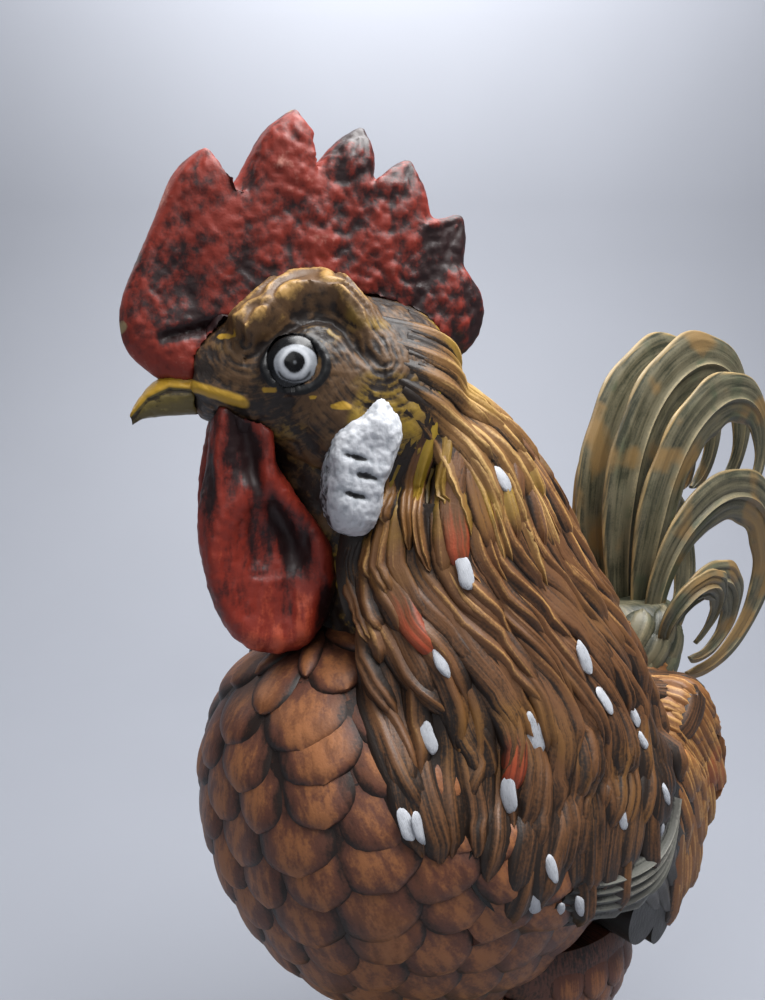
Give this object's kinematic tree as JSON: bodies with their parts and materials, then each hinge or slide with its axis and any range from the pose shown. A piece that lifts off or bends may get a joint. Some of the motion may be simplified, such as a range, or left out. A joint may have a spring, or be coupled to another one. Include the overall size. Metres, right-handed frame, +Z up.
{
  "type": "rooster figure",
  "caption": "Standing painted cast rooster with head turned, single comb, feather cape, openwork arched tail and legs on steel rods, on an oval felted base.",
  "frame": {"origin": "centre of the flat underside of the base", "axes": "+Z up, the bird's body faces -Y, its left side is +X"},
  "size_m": [0.196, 0.3352, 0.4612],
  "materials": {
    "tail_paint": "hand-painted cast resin, dark wash in the hollows and dry-brushed ridges, satin",
    "wing_paint": "hand-painted cast resin, dark wash in the hollows and dry-brushed ridges, satin",
    "breast_paint": "hand-painted cast resin, dark wash in the hollows and dry-brushed ridges, satin",
    "hackle_paint": "hand-painted cast resin, dark wash in the hollows and dry-brushed ridges, satin",
    "face_paint": "hand-painted cast resin, dark wash in the hollows and dry-brushed ridges, satin",
    "comb_paint": "hand-painted cast resin, dark wash in the hollows and dry-brushed ridges, satin",
    "beak_paint": "hand-painted cast resin, dark wash in the hollows and dry-brushed ridges, satin",
    "white_paint": "thick white brush paint on filler",
    "eye_paint": "painted dome, clear coat",
    "leg_paint": "hand-painted cast resin, dark wash in the hollows and dry-brushed ridges, satin",
    "base_paint": "hand-painted cast resin, dark wash in the hollows and dry-brushed ridges, satin",
    "felt": "needled felt",
    "steel": "plain bright steel"
  },
  "bodies": {
    "root": {"base_felt": "felt", "base_casting": "base_paint", "leg_rod_washers": "steel", "leg_rod_nuts": "steel", "body_casting": "breast_paint", "wing_pins": "steel", "hackle_cape": "hackle_paint", "head_casting": "face_paint", "comb": "comb_paint", "beak": "beak_paint", "tail_root": "tail_paint", "tail_pin": "steel", "left_leg_rod": "steel", "left_shank": "leg_paint", "left_thigh": "breast_paint", "left_wing": "wing_paint", "left_saddle": "wing_paint", "left_eye": "eye_paint", "left_wattle": "comb_paint", "left_ear_lobe": "white_paint", "left_main_sickle": "tail_paint", "left_inner_plume": "tail_paint", "left_covert_sickle": "tail_paint", "left_small_curl": "tail_paint", "left_root_curl": "tail_paint", "right_leg_rod": "steel", "right_shank": "leg_paint", "right_thigh": "breast_paint", "right_wing": "wing_paint", "right_saddle": "wing_paint", "right_eye": "eye_paint", "right_wattle": "comb_paint", "right_ear_lobe": "white_paint", "right_main_sickle": "tail_paint", "right_inner_plume": "tail_paint", "right_covert_sickle": "tail_paint", "right_small_curl": "tail_paint", "right_root_curl": "tail_paint"}
  },
  "joints": []
}
